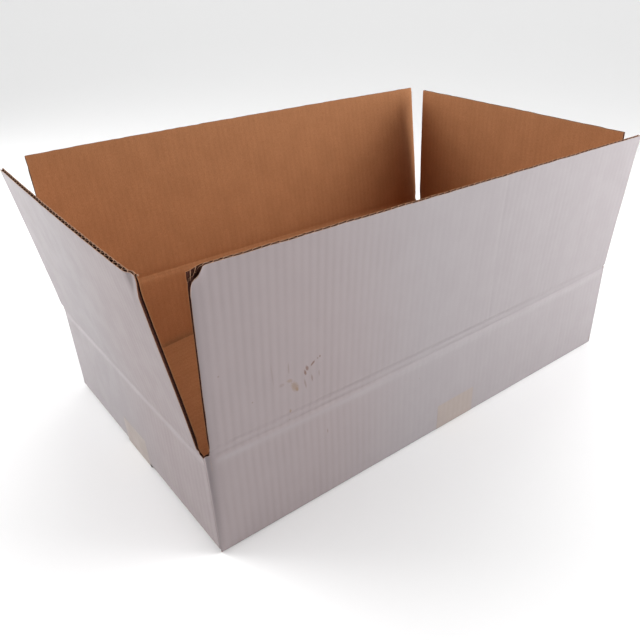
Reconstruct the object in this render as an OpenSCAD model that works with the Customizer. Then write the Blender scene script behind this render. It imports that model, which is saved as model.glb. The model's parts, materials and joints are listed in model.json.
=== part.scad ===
// Regular slotted carton of single-wall corrugated board: bottom closed and taped, four top flaps standing open.
// Millimetres. X runs along the length, Y from the front wall to the back wall, Z up from the ground.

/* [Carton] */
// Outside length, along the front and back walls
carton_l = 480; // [380:1:700]
// Outside width, along the end walls
carton_w = 290; // [220:1:360]
// Outside height with the top closed
carton_h = 95; // [60:1:250]

/* [Board] */
// Thickness of the corrugated board
board_t = 3; // [2.6:0.1:4]
// Length of one flute wave
flute_pitch = 6.5; // [5.5:0.1:9]
// Thickness of each flat liner
liner_t = 0.35; // [0.25:0.05:0.5]
// Thickness of the wavy medium between the liners
medium_t = 0.3; // [0.2:0.05:0.4]

/* [Top flaps] */
// Outward lean of the front flap from upright, in degrees
front_lean = 4.5; // [0:0.5:30]
// Outward lean of the back flap from upright, in degrees
back_lean = 6.5; // [0:0.5:30]
// Outward lean of the left flap from upright, in degrees
left_lean = 8.5; // [0:0.5:30]
// Outward lean of the right flap from upright, in degrees
right_lean = 0.5; // [0:0.5:30]
// Thickness of the board where a top crease crushes it
crease_t = 1.2; // [0.8:0.1:2]

/* [Bottom] */
// Rise of the inner bottom flaps towards their free edges, in degrees
inner_rise = 5.5; // [0:0.5:10]
// Length of the glued joint tab along the back wall
tab_l = 35; // [25:1:45]
// Thickness of the pressed joint tab
tab_t = 2.2; // [1:0.1:2.4]
// Height that the tab loses at each end, towards its free edge
tab_slant = 8; // [2:1:15]

/* [Folds] */
// Outside radius of the upright corner folds
corner_r = 3; // [1:0.5:5]
// Outside radius of the bottom folds
fold_r = 2.5; // [1:0.5:3]

/* [Tape] */
// Width of the packing tape
tape_w = 48; // [36:1:75]
// Thickness of the packing tape
tape_t = 0.1; // [0.05:0.01:0.2]
// Height that the seam tape reaches up the end walls
seam_tape_up = 31; // [15:1:40]
// Height that the cross tape reaches up the front and back walls
cross_tape_up = 29; // [15:1:40]
// Place of the seam tape's centre line, towards the back wall
seam_tape_y = 3; // [-15:1:15]
// Place of the cross tape's centre line, towards the right wall
cross_tape_x = 14; // [-15:1:15]

/* [Clearances] */
// Gap between two flap edges that meet at a seam
seam_gap = 0.6; // [0.4:0.1:2]
// Gap between boards that fold onto each other
layer_gap = 0.3; // [0.2:0.1:1]
// Distance that a front or back flap ends short of the end walls' inner face
major_side_gap = 1; // [0.8:0.1:4]
// Distance that an end flap ends short of the front and back walls' inner face
minor_side_gap = 3.5; // [2.8:0.1:8]
// Gap on each side of a top crease's fold line
crease_gap = 0.1; // [0.05:0.05:0.2]

/* [Hidden] */
$fn = 48;

white_liner = [0.72, 0.70, 0.70];
tan_tape = [0.66, 0.60, 0.55];

// Every flap is half the carton's width deep, so the front and back flaps meet over the middle.
flap_l = (carton_w - seam_gap) / 2;
major_w = carton_l - 2 * (board_t + major_side_gap);
minor_w = carton_w - 2 * (board_t + minor_side_gap);

// The end flaps fold one board lower than the front and back flaps, and lie under them.
major_fold_z = carton_h;
minor_fold_z = carton_h - board_t - layer_gap;
// At the bottom the front and back flaps lie outside, on the ground, and the end flaps inside, on them.
inner_fold_z = board_t + layer_gap;

// Full board stops this far from a top fold line, and crushed board bridges the rest.
crease_half = board_t + layer_gap;
crease_ramp = (board_t - crease_t) * 0.6;

// The medium is a cosine wave whose crests are glued to the liners over a short line.
glue_line = 0.08 * flute_pitch;
wave_a = (board_t - medium_t) / 2 - liner_t;
wave_slope = 2 * PI * wave_a / flute_pitch;
function medium_face(x) = board_t / 2 + wave_a * cos(360 * x / flute_pitch)
    - medium_t / 2 * sqrt(1 + pow(wave_slope * sin(360 * x / flute_pitch), 2));

// Open channel between the outer liner and the medium, centred on a crest
module channel() {
    foot = (flute_pitch - glue_line) / 2;
    shoulder = flute_pitch / 5;
    polygon([[-foot, liner_t], [foot, liner_t], [shoulder, medium_face(shoulder)], [0, medium_face(0)],
        [-shoulder, medium_face(shoulder)]]);
}

// Section across the flutes: X along the board, Y from its outer face to its inner face
module fluted_section(width) {
    waves = ceil(width / 2 / flute_pitch) + 1;
    difference() {
        translate([-width / 2, 0]) square([width, board_t]);
        for (i = [-waves : waves]) {
            translate([i * flute_pitch, 0]) channel();
            translate([(i + 0.5) * flute_pitch, board_t]) mirror([0, 1]) channel();
        }
    }
}

// Each side's own frame: X along the wall, Y inward from its outer face
module on_front() translate([0, -carton_w / 2, 0]) children();
module on_back() translate([0, carton_w / 2, 0]) rotate(180) children();
module on_left() translate([-carton_l / 2, 0, 0]) rotate(-90) children();
module on_right() translate([carton_l / 2, 0, 0]) rotate(90) children();
module at_height(z) translate([0, 0, z]) children();
module leaning(angle) rotate([angle, 0, 0]) children();

// Draws a profile of [distance from the outer face, height] along the side's own X
module along_side(width) rotate([90, 0, 90]) linear_extrude(width, center = true) children();

// Half of a top crease: full board pinched to crushed board, mitred at 45 degrees so that it can fold flat
module crease(width) along_side(width) polygon([
    [0, crease_half], [board_t, crease_half], [crease_t, crease_half - crease_ramp],
    [crease_t, crease_t + crease_gap], [0, crease_gap]]);

// A top flap, upright, with its fold line on the side's own X axis
module top_flap(width) {
    at_height(crease_half) linear_extrude(flap_l - crease_half) fluted_section(width);
    crease(width);
}

// A bottom fold with the start of its flap, which reaches so far from the wall's outer face
module bottom_fold(width, reach, rise) along_side(width) {
    translate([0, fold_r]) square([board_t, board_t]);
    translate([fold_r, fold_r]) {
        circle(fold_r);
        rotate(rise) translate([0, -fold_r]) square([reach - fold_r, board_t]);
    }
}

// Inner bottom flap, fluted to its free edge and sprung up inside
module inner_bottom_flap() at_height(inner_fold_z) {
    start = 2 * board_t;
    bottom_fold(minor_w, start, inner_rise);
    translate([0, fold_r, fold_r]) leaning(inner_rise) translate([0, start - fold_r, -fold_r])
        rotate([90, 0, 180]) linear_extrude(flap_l - start) fluted_section(minor_w);
}

module round_rectangle(l, w, r) {
    square([l, w - 2 * r], center = true);
    square([l - 2 * r, w], center = true);
    for (x = [-1, 1], y = [-1, 1]) translate([x * (l / 2 - r), y * (w / 2 - r)]) circle(r);
}

// Plan of the four walls
module ring() difference() {
    round_rectangle(carton_l, carton_w, corner_r);
    round_rectangle(carton_l - 2 * board_t, carton_w - 2 * board_t, max(corner_r - board_t, 0.4));
}

module walls() at_height(inner_fold_z) {
    linear_extrude(minor_fold_z - crease_half - inner_fold_z) ring();
    // The front and back walls stand one board higher than the end walls.
    linear_extrude(major_fold_z - crease_half - inner_fold_z) difference() {
        ring();
        square([carton_l, carton_w - 2 * board_t], center = true);
    }
}

// Joint tab, folded from the right wall and glued inside the back wall
module joint_tab() {
    root = 0.5;
    low = inner_fold_z + board_t;
    high = minor_fold_z - crease_half;
    translate([carton_l / 2 - board_t, carton_w / 2 - board_t + root, 0]) rotate([90, 0, 0])
        linear_extrude(tab_t + root)
            polygon([[root, low], [root, high], [0, high], [-tab_l, high - tab_slant], [-tab_l, low + tab_slant],
                [0, low]]);
}

// Corner between the ground and a wall of a strip of tape: a quarter ring that starts at the wall's foot
module tape_corner(half_span) translate([half_span - fold_r, fold_r + tape_t]) intersection() {
    difference() {
        circle(fold_r + tape_t);
        circle(fold_r);
    }
    translate([0, -fold_r - tape_t]) square(fold_r + tape_t);
}

// Strip of tape as [distance along it, height]: flat under the carton and turned up both walls
module tape_ends(span, up) for (side = [0, 1]) mirror([side, 0]) {
    tape_corner(span / 2);
    translate([span / 2, fold_r + tape_t]) square([tape_t, up - fold_r - tape_t]);
}

module cross_tape_section() {
    square_w = carton_w - 2 * fold_r;
    translate([-square_w / 2, 0]) square([square_w, tape_t]);
    tape_ends(carton_w, cross_tape_up);
}

// The seam tape lies over the cross tape and steps down to the board beside it.
step_l = 1;
step_in = cross_tape_x - tape_w / 2 - layer_gap;
step_out = cross_tape_x + tape_w / 2 + layer_gap;
module seam_tape_section() {
    flat = carton_l / 2 - fold_r;
    lower = [[-flat, 0], [step_in - step_l, 0], [step_in, tape_t], [step_out, tape_t], [step_out + step_l, 0],
        [flat, 0]];
    upper = [for (i = [len(lower) - 1 : -1 : 0]) lower[i] + [0, tape_t]];
    polygon(concat(lower, upper));
    tape_ends(carton_l, seam_tape_up);
}

// The board is pressed in by the tape's thickness, so the underside is one plane.
press = 1;
module pressed_under_tape() {
    width = tape_w + 2 * tape_t;
    translate([0, seam_tape_y, 0]) rotate([90, 0, 0]) linear_extrude(width, center = true) {
        translate([-carton_l / 2, -press]) square([carton_l, press + tape_t]);
        translate([step_in - step_l, 0]) square([step_out - step_in + 2 * step_l, 2 * tape_t]);
    }
    translate([cross_tape_x, 0, 0]) rotate([90, 0, 90]) linear_extrude(width, center = true) {
        translate([-carton_w / 2, -press]) square([carton_w, press + tape_t]);
        for (side = [0, 1]) mirror([side, 0]) difference() {
            translate([carton_w / 2 - fold_r, 0]) square([fold_r + press, fold_r + tape_t]);
            translate([carton_w / 2 - fold_r, fold_r + tape_t]) circle(fold_r);
        }
    }
}

module carton_body() color(white_liner) difference() {
    union() {
        walls();
        joint_tab();
        on_front() bottom_fold(major_w, flap_l, 0);
        on_back() bottom_fold(major_w, flap_l, 0);
        on_left() inner_bottom_flap();
        on_right() inner_bottom_flap();
        on_front() at_height(major_fold_z) mirror([0, 0, 1]) crease(major_w);
        on_back() at_height(major_fold_z) mirror([0, 0, 1]) crease(major_w);
        on_left() at_height(minor_fold_z) mirror([0, 0, 1]) crease(minor_w);
        on_right() at_height(minor_fold_z) mirror([0, 0, 1]) crease(minor_w);
    }
    pressed_under_tape();
}

module front_top_flap() color(white_liner) on_front() at_height(major_fold_z) leaning(front_lean) top_flap(major_w);
module back_top_flap() color(white_liner) on_back() at_height(major_fold_z) leaning(back_lean) top_flap(major_w);
module left_top_flap() color(white_liner) on_left() at_height(minor_fold_z) leaning(left_lean) top_flap(minor_w);
module right_top_flap() color(white_liner) on_right() at_height(minor_fold_z) leaning(right_lean) top_flap(minor_w);

module seam_tape() color(tan_tape) translate([0, seam_tape_y, 0])
    rotate([90, 0, 0]) linear_extrude(tape_w, center = true) seam_tape_section();
module cross_tape() color(tan_tape) translate([cross_tape_x, 0, 0])
    rotate([90, 0, 90]) linear_extrude(tape_w, center = true) cross_tape_section();

carton_body();
front_top_flap();
back_top_flap();
left_top_flap();
right_top_flap();
seam_tape();
cross_tape();
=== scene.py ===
"""Regular slotted carton of white-faced corrugated board, taped shut below, with four open top flaps."""

import json
import math

import bpy
import numpy as np
from bpy.props import FloatProperty, FloatVectorProperty, PointerProperty
from mathutils import Matrix, Vector


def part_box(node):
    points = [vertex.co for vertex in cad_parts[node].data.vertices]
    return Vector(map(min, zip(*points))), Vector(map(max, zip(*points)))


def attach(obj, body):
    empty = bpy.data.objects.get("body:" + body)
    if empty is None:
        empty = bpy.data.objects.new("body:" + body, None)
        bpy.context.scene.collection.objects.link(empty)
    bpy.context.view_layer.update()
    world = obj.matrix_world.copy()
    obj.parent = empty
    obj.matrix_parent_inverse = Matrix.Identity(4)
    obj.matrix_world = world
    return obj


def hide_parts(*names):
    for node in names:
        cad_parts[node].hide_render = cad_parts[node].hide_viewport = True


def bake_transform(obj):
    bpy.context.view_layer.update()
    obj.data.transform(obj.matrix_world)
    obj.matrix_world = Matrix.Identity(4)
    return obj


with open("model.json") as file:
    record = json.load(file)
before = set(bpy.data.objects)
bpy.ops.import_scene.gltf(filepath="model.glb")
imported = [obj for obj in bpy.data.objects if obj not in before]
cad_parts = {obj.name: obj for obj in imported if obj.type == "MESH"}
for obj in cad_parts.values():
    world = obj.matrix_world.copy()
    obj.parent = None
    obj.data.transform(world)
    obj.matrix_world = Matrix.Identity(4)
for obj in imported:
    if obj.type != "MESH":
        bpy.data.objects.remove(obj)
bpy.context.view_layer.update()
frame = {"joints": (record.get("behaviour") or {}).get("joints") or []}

bl_info = {
    "name": "Regular Slotted Carton",
    "version": (1, 0, 0),
    "blender": (4, 5, 0),
    "location": "View3D > Sidebar > Carton",
    "description": "Dresses a slotted carton with corrugated board, creases, wear and packing tape",
    "category": "Object",
}

# Geometry below is worked out in millimetres and written to the meshes in metres.
MM = 0.001
UP = np.array([0.0, 0.0, 1.0])

# Each side faces outward after turning the front by this many degrees about the upright axis.
SIDE_TURN = {"back": 180, "left": 270, "front": 0, "right": 90}
# The blank runs round the carton in this order, seen from outside, left to right.
BLANK_ORDER = ("back", "left", "front", "right")

# Material indices on every board mesh; the third is the medium, darkened nearly to black as painted shade of
# the flutes
WHITE, KRAFT, SHADED_MEDIUM, CUT = range(4)

# Curves on the board stop this far above the ground, where the wall meshes hand over to the flap meshes.
JOIN_Z = 80.0
# Height of the slots' lower ends, between two neighbouring top flaps
SLOT_Z = 94.6
# The underside lies this high, on the packing tape.
UNDERSIDE_Z = 0.12
# Outer radius of the folds round the bottom
FOLD_RADIUS = 2.5

# Slope of the inner bottom flaps, and how far in they leave the wall piece
INNER_RISE = math.radians(5.5)
INNER_START = 12.0

# Points to each flute, along a liner and along the medium
LINER_SAMPLES = 5
FLUTE_SAMPLES = 8


class CartonBoardSettings(bpy.types.PropertyGroup):
    """Sizes of the corrugated board"""

    thickness: FloatProperty(
        name="Board Thickness", description="Thickness of the whole board", default=0.003,
        min=0.002, max=0.006, precision=4, unit="LENGTH")
    pitch: FloatProperty(
        name="Flute Pitch", description="Length of one wave of the medium", default=0.0065,
        min=0.004, max=0.01, precision=4, unit="LENGTH")
    liner: FloatProperty(
        name="Liner Thickness", description="Thickness of each flat liner", default=0.00035,
        min=0.0001, max=0.0008, precision=5, unit="LENGTH")
    medium: FloatProperty(
        name="Medium Thickness", description="Thickness of the wavy medium", default=0.00042,
        min=0.0001, max=0.0006, precision=5, unit="LENGTH")
    washboard: FloatProperty(
        name="Washboard Depth", description="How far a liner sinks between two flute tips",
        default=0.00004, min=0.0, max=0.0004, precision=5, unit="LENGTH")
    groove: FloatProperty(
        name="Crease Groove Depth", description="Depth of the two score lines outside each top crease",
        default=0.0009, min=0.0, max=0.002, precision=5, unit="LENGTH")
    crease: FloatProperty(
        name="Creased Thickness", description="Thickness of the board where a top crease crushes it",
        default=0.0014, min=0.0008, max=0.003, precision=4, unit="LENGTH")


class CartonFinishSettings(bpy.types.PropertyGroup):
    """Colours of paper and tape, and of the painted shade and highlight"""

    white: FloatVectorProperty(
        name="White Liner", description="Coated outside of the board", default=(0.326, 0.294, 0.304),
        subtype="COLOR", min=0.0, max=1.0)
    white_shade: FloatVectorProperty(
        name="White Liner Shade", description="Thinner coating, between flute tips",
        default=(0.268, 0.236, 0.242), subtype="COLOR", min=0.0, max=1.0)
    kraft: FloatVectorProperty(
        name="Kraft Liner", description="Brown inside of the board", default=(0.50, 0.226, 0.098),
        subtype="COLOR", min=0.0, max=1.0)
    kraft_shade: FloatVectorProperty(
        name="Kraft Liner Shade", description="Darker fibres of the brown liner",
        default=(0.33, 0.140, 0.056), subtype="COLOR", min=0.0, max=1.0)
    # Near-black: the medium's kraft brown darkened as painted shade of the flute cavities
    flute: FloatVectorProperty(
        name="Medium", description="Wavy medium and the liners' hidden faces",
        default=(0.048, 0.0150, 0.0145), subtype="COLOR", min=0.0, max=1.0)
    cut: FloatVectorProperty(
        name="Cut Edge", description="Cut fibres at free edges", default=(0.42, 0.25, 0.165),
        subtype="COLOR", min=0.0, max=1.0)
    # Tint for the front's left end: a pinker, thinner coating, with painted shade that darkens that end
    thin_coat_and_shade_tint: FloatVectorProperty(
        name="Thin Coating Tint", description="Tint of the white liner where its coating is thin",
        default=(1.0, 0.92, 0.90), subtype="COLOR", min=0.0, max=1.0)
    scuff: FloatVectorProperty(
        name="Scuffs", description="Dark rubs on the white liner", default=(0.165, 0.080, 0.055),
        subtype="COLOR", min=0.0, max=1.0)
    # Colour of the painted shade beside the pressed corner and of the shade and dirt in the score lines
    painted_shading: FloatVectorProperty(
        name="Grime", description="Dark cast in the creases and along the pressed corner",
        default=(0.115, 0.095, 0.105), subtype="COLOR", min=0.0, max=1.0)
    # Colour of the painted highlight on the shoulder below each top crease
    pressed: FloatVectorProperty(
        name="Pressed White", description="White liner where the scoring stretched it smooth",
        default=(0.425, 0.390, 0.402), subtype="COLOR", min=0.0, max=1.0)
    stain: FloatVectorProperty(
        name="Stains", description="Tan stains on the white liner", default=(0.255, 0.170, 0.115),
        subtype="COLOR", min=0.0, max=1.0)
    tape: FloatVectorProperty(
        name="Packing Tape", description="Clear tan film over the white liner",
        default=(0.340, 0.282, 0.256), subtype="COLOR", min=0.0, max=1.0)


class CartonStageSettings(bpy.types.PropertyGroup):
    """Camera, floor and lights"""

    place: FloatVectorProperty(
        name="Camera Place", description="Where the camera stands", default=(-0.37255, -0.47423, 0.39198),
        subtype="TRANSLATION", unit="LENGTH", precision=4)
    azimuth: FloatProperty(
        name="Camera Azimuth", description="Direction of view about the upright axis, 0 along +Y",
        default=math.radians(-38.650), subtype="ANGLE")
    elevation: FloatProperty(
        name="Camera Elevation", description="How far the view looks down", default=math.radians(30.998),
        subtype="ANGLE")
    roll: FloatProperty(
        name="Camera Roll", description="Turn about the view's own axis", default=math.radians(-0.891),
        subtype="ANGLE")
    lens: FloatProperty(
        name="Focal Length", description="Focal length on a sensor 36 mm wide", default=36.641, min=10.0,
        max=200.0, unit="CAMERA")
    shift: FloatVectorProperty(
        name="Lens Shift", description="Sideways and upward shift of the picture", size=2,
        default=(-0.05115, 0.03095))
    floor: FloatVectorProperty(
        name="Floor", description="Colour of the plain floor", default=(0.92, 0.92, 0.92), subtype="COLOR",
        min=0.0, max=1.0)
    back_right: FloatProperty(
        name="Low Back Right Light", description="Strength of the broad light low behind the far corner",
        default=2.06, min=0.0)
    back_left: FloatProperty(
        name="Back Left Light", description="Strength of the broad light behind the left side",
        default=1.51, min=0.0)
    front_right: FloatProperty(
        name="Front Right Light", description="Strength of the broad light before the right side",
        default=1.40, min=0.0)
    left_panel: FloatProperty(
        name="Left Panel", description="Power of the near light on the left", default=10.9, min=0.0,
        unit="POWER")
    right_panel: FloatProperty(
        name="Right Panel", description="Power of the near light on the right", default=8.3, min=0.0,
        unit="POWER")


def box_mm(node):
    """A CAD node's lowest and highest corners, in millimetres."""
    return [np.array(corner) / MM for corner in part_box(node)]


def smooth(x):
    """Smooth step from 0 to 1"""
    x = np.clip(x, 0.0, 1.0)
    return x * x * (3 - 2 * x)


def bell(x, width):
    """Bell curve of height 1"""
    return np.exp(-(x / width) ** 2)


def wander(x, y, seed):
    """Smooth random surface from -1 to 1, with about one bump to each unit of x and y."""
    period = 61
    table = np.random.default_rng(seed).uniform(-1, 1, (period, period))
    x, y = np.broadcast_arrays(np.asarray(x, float), np.asarray(y, float))
    i, j = np.floor(x).astype(int), np.floor(y).astype(int)
    fx, fy = smooth(x - i), smooth(y - j)

    def at(a, b):
        return table[(i + a) % period, (j + b) % period]

    low = at(0, 0) * (1 - fx) + at(1, 0) * fx
    high = at(0, 1) * (1 - fx) + at(1, 1) * fx
    return low * (1 - fy) + high * fy


class Side:
    """One wall of the carton with its top flap.

    x runs along it as seen from outside, t runs up the flap from the fold line, and depth runs inward from
    the outer face. Its left end is at start along the unfolded sheet, and blank is the place of its middle.
    """

    # Outward bow of the free edge's middle, then what the flap's length and its lean, in degrees, gain at
    # its left and right ends
    SHAPE = {
        "front": (1.5, (0.8, -3.2), (0.0, 0.1)),
        "back": (8.0, (0.0, 0.2), (0.4, -2.7)),
        "left": (1.0, (1.6, 1.9), (0.0, 0.45)),
        "right": (1.5, (-0.8, 2.1), (-1.1, -0.8)),
    }
    # How deep the score lines are pressed at the left and right end, as a share of the full groove
    PRESS = {
        "front": (0.6, 0.35),
        "back": (0.8, 0.8),
        "left": (0.6, 0.6),
        "right": (0.8, 0.8),
    }
    # Beside the upright corner at one end, how far in the outer face is pressed and over what width; these
    # also size the painted shade beside that corner
    PRESSED_END = {"front": (-1, 2.1, 5.6), "left": (1, -0.7, 2.8)}
    # Heights of the two score lines about the fold line, and how they sag and slope along the crease
    SCORES = {
        "front": (5.5, -1.5, 3.0, 0.55),
        "back": (4.4, -2.0, 0.6, -0.3),
        "left": (6.3, -2.4, 0.5, -0.6),
        "right": (3.0, -2.4, 0.5, 0.3),
    }
    # Soft bands of painted tone along the score lines: painted shade, with some dirt, in the grooves and
    # painted highlight on the shoulder below. Each has its score line (0 is the upper, 1 the lower), its
    # height above that line, its width above and below, and how much darker it is, or lighter if below 0.
    PAINTED_LIGHT_BANDS = (
        (0, -0.6, 2.4, 2.4, 0.03),
        (1, 0.2, 1.5, 1.5, 0.05),
        (1, 3.8, 1.7, 1.7, -0.12),
        (1, -4.4, 2.7, 3.4, -0.26),
    )
    LEFT_PAINTED_LIGHT_BANDS = (
        (0, 0.0, 2.0, 2.0, 0.05),
        (1, 0.0, 1.9, 3.4, -0.42),
    )

    def __init__(self, name, start, thickness):
        turn = math.radians(SIDE_TURN[name])
        self.name = name
        self.along = np.array([math.cos(turn), math.sin(turn), 0.0])
        self.outward = np.array([math.sin(turn), -math.cos(turn), 0.0])
        body = box_mm("carton_body")
        self.half_wall = max(self.along @ corner for corner in body)
        self.reach = max(self.outward @ corner for corner in body)
        self.blank = start + self.half_wall
        hinge = next(j for j in frame["joints"] if j["name"] == name + "_flap_hinge")
        self.fold_z = hinge["pos_m"][2] / MM
        flap = box_mm(name + "_top_flap")
        self.half_flap = max(self.along @ corner for corner in flap)
        out = max(self.outward @ corner for corner in flap) - self.reach
        up = flap[1][2] - self.fold_z
        lean = 0.0
        for _ in range(4):
            lean = math.atan2(out, up - thickness * math.sin(lean))
        self.lean = lean
        self.flap_l = math.hypot(out, up - thickness * math.sin(lean))
        self.bow, self.gain, self.twist = self.SHAPE[name]
        self.scores = self.SCORES[name]
        self.painted_light_bands = self.LEFT_PAINTED_LIGHT_BANDS if name == "left" else self.PAINTED_LIGHT_BANDS
        self.base = UNDERSIDE_Z if name in ("front", "back") else thickness + 0.3
        self.slot_t = SLOT_Z - self.fold_z
        self.seed = 11 * (1 + BLANK_ORDER.index(name))

    def fold_path(self, t):
        """Distance out, height and lean of the outer face at t, rounded over the fold."""
        bend = 4.0
        radius = 2 * bend / self.lean
        lean = self.lean * np.clip((t + bend) / (2 * bend), 0, 1)
        over = np.maximum(t - bend, 0)
        under = np.minimum(t, -bend)
        out = radius * (1 - np.cos(lean)) + over * math.sin(self.lean)
        up = under + radius * np.sin(lean) + over * math.cos(self.lean)
        return out, up, lean

    def flap_point(self, x, t, depth):
        """Point of the top flap and its crease"""
        out, up, lean = self.fold_path(t)
        reach = self.reach + out - depth * np.cos(lean)
        height = self.fold_z + up + depth * np.sin(lean)
        x, reach, height = np.broadcast_arrays(x, reach, height)
        return x[..., None] * self.along + reach[..., None] * self.outward + height[..., None] * UP

    def wall_point(self, x, depth, height):
        """Point of the wall, or of what hangs from it"""
        x, depth, height = np.broadcast_arrays(x, depth, height)
        reach = self.reach - depth
        return x[..., None] * self.along + reach[..., None] * self.outward + height[..., None] * UP

    def score_lines(self, x):
        """Heights of the upper and lower score line about the fold line"""
        upper, lower, sag, slope = self.scores
        u = x / self.half_flap
        sink = sag * (u * u - 1) + slope * u
        lower = lower + sink + 0.25 * wander(x / 45, 0, self.seed)
        return upper + sink + 0.25 * wander(x / 60, 0, self.seed + 1), lower

    def free_edge(self, x):
        """Length of the flap along x"""
        u = (x / self.half_flap + 1) / 2
        left, right = self.gain
        worn = 1.0 * bell(u - 0.05, 0.17) if self.name == "front" else 0.0
        return self.flap_l + left + (right - left) * u - worn + 0.22 * wander(x / 7, 0, self.seed + 2)


class Board:
    """The corrugated board of this carton, in millimetres"""

    def __init__(self, size):
        self.t = size.thickness / MM
        self.pitch = size.pitch / MM
        self.liner = size.liner / MM
        self.medium = size.medium / MM
        self.washboard = size.washboard / MM
        self.groove = size.groove / MM
        self.crease_t = size.crease / MM
        self.tips = np.random.default_rng(5).uniform(0.55, 1.45, 400)
        self.sides = {}
        start = 0.0
        for name in BLANK_ORDER:
            side = Side(name, start, self.t)
            start += 2 * side.half_wall
            self.sides[name] = side

    def columns(self, side, half, samples=LINER_SAMPLES):
        """Places along a side that follow its flutes, from -half to half"""
        step = self.pitch / samples
        first = math.ceil((side.blank - half) / step + 0.3)
        last = math.floor((side.blank + half) / step - 0.3)
        inner = np.arange(first, last + 1) * step - side.blank
        return np.concatenate([[-half], inner, [half]])

    def ripple(self, s, height, inside):
        """How far a liner sinks between flute tips at s along the blank"""
        phase = s / self.pitch + (0.0 if inside else 0.5)
        tip = self.tips[np.floor(phase).astype(int) % len(self.tips)]
        sink = 0.5 - 0.5 * np.cos(2 * np.pi * phase)
        run = 1 + 0.45 * wander(s / 19, height / 34, 3 + inside)
        return self.washboard * tip * run * sink

    def flutes(self, s, height, t, inside):
        """The ripple of a liner, which the top crease flattens"""
        return self.ripple(s, height, inside) * (1 - 0.8 * bell(t, 4.5))

    def crease(self, side, x, t):
        """Depths of the two faces of the board over a top crease, on an otherwise flat wall"""
        upper, lower = side.score_lines(x)
        left, right = side.PRESS[side.name]
        press = left + (right - left) * (x / side.half_wall + 1) / 2
        press = press + 0.2 * wander(x / 30, 0, side.seed + 8)
        press = self.groove * press * smooth((side.half_wall - np.abs(x)) / 9)
        outer = press * (0.8 * bell(t - upper, np.where(t > upper, 2.0, 1.0)))
        outer = outer + press * bell(t - lower, np.where(t > lower, 2.1, 1.0))
        swell = 0.42 * bell(t - (upper + lower) / 2, 1.9) + 0.6 * bell(t - lower + 4.2, 2.4)
        outer = outer - press * swell
        away = t - self.inner_line(side, x)
        steep = np.where(away < 0, 5.8, 4.8)
        pressed = np.exp(-np.sqrt((away / steep) ** 2 + 0.03) + 0.17)
        inner = self.t - (self.t - self.crease_t) * pressed
        return outer, self.kept_apart(outer, inner)

    def inner_line(self, side, x):
        """Height of the crease on the board's inner face, about the fold line"""
        return 3.8 + 1.0 * x / side.half_flap + 0.3 * wander(x / 50, 0, side.seed + 6)

    def painted_shading(self, side, x, z):
        """How much painted shade darkens the outer face beside the pressed corner and in the score lines;
        below 0, how much painted highlight lightens it
        """
        pressed_end, pressed, width = side.PRESSED_END.get(side.name, (0, 0.0, 1.0))
        high = np.clip(z / SLOT_Z, 0, 1)
        away = np.maximum(side.half_wall - pressed_end * x, 0)
        spread = width * (0.25 + 0.75 * high)
        # Painted shade beside the pressed corner, where the bent-in board turns away from the light
        cast = 0.33 * max(pressed, 0.0) * (0.7 + 0.3 * high) * np.exp(-(away / spread) ** 1.4)
        lines = side.score_lines(x)
        flutes = np.cos(2 * np.pi * (side.blank + x) / self.pitch)
        press = 1.0 + 0.25 * wander(x / 24, 0, side.seed + 9) + 0.2 * flutes
        press = press * smooth((side.half_wall - np.abs(x)) / 12)
        tone = 0.0
        # Painted shade, with some dirt, in the score lines, and painted highlight on the shoulder below the
        # lower one
        for line, above, wide_above, wide_below, share in side.painted_light_bands:
            off = z - side.fold_z - lines[line] - above
            tone = tone + share * bell(off, np.where(off > 0, wide_above, wide_below))
        return cast + press * tone

    def kept_apart(self, outer, inner):
        """The inner face, pushed off where the board is crushed to less than its three papers"""
        least = outer + 2 * self.liner + self.medium + 0.05
        return least + 0.12 * np.logaddexp(0.0, (inner - least) / 0.12)

    def wall_relief(self, side, x, z):
        """How far a wall's outer face lies inside its flat place, apart from the crease and the flutes"""
        upright = smooth((side.half_wall - np.abs(x)) / 30)
        high = np.clip(z / side.fold_z, 0, 1)
        relief = -0.5 * upright * np.sin(np.pi * high)
        pressed_end, pressed, width = side.PRESSED_END.get(side.name, (0, 0.0, 1.0))
        pressed, width = pressed * (0.35 + 0.65 * high), width * (0.45 + 0.55 * high)
        for end in (-1, 1):
            away = np.maximum(side.half_wall - end * x, 0)
            if end == pressed_end:
                relief = relief + pressed * np.exp(-away / width)
            else:
                relief = relief + 0.25 * (away / 5.0) * np.exp(1 - away / 5.0)
        return relief + 0.2 * bell(z - 6.5, 2.2)

    def flap_faces(self, side, x, t):
        """Depths of the outer and inner face of a top flap at x and t"""
        s = side.blank + x
        height = side.fold_z + t
        creased_outer, creased_inner = self.crease(side, x, t)
        u = x / side.half_flap
        rise = np.clip(t / side.flap_l, 0, 1)
        sheet = self.wall_relief(side, x, np.minimum(height, side.fold_z)) * (1 - smooth(t / 9))
        sheet = sheet - side.bow * (1 - u * u) * rise ** 1.6
        sheet = sheet - 1.2 * smooth((t - side.slot_t) / 7) * np.exp(-np.maximum(t - 5, 0) / 40)
        ends = [math.radians(angle) for angle in side.twist]
        sheet = sheet - np.maximum(t, 0) * (ends[0] + (ends[1] - ends[0]) * (u + 1) / 2)
        sheet = sheet + 0.25 * wander(x / 55, t / 48, side.seed + 3) * rise
        if side.name == "front":
            sheet = sheet + self.front_marks(x, t)
        outer = sheet + creased_outer + self.flutes(s, height, t, False)
        inner = sheet + creased_inner - self.flutes(s, height, t, True)
        if side.name == "left":
            return self.crushed_corner(side, x, t, outer, inner)
        edge = side.free_edge(x) - t
        return outer, inner - 0.15 * np.exp(-np.maximum(edge, 0) / 2.2)

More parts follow.
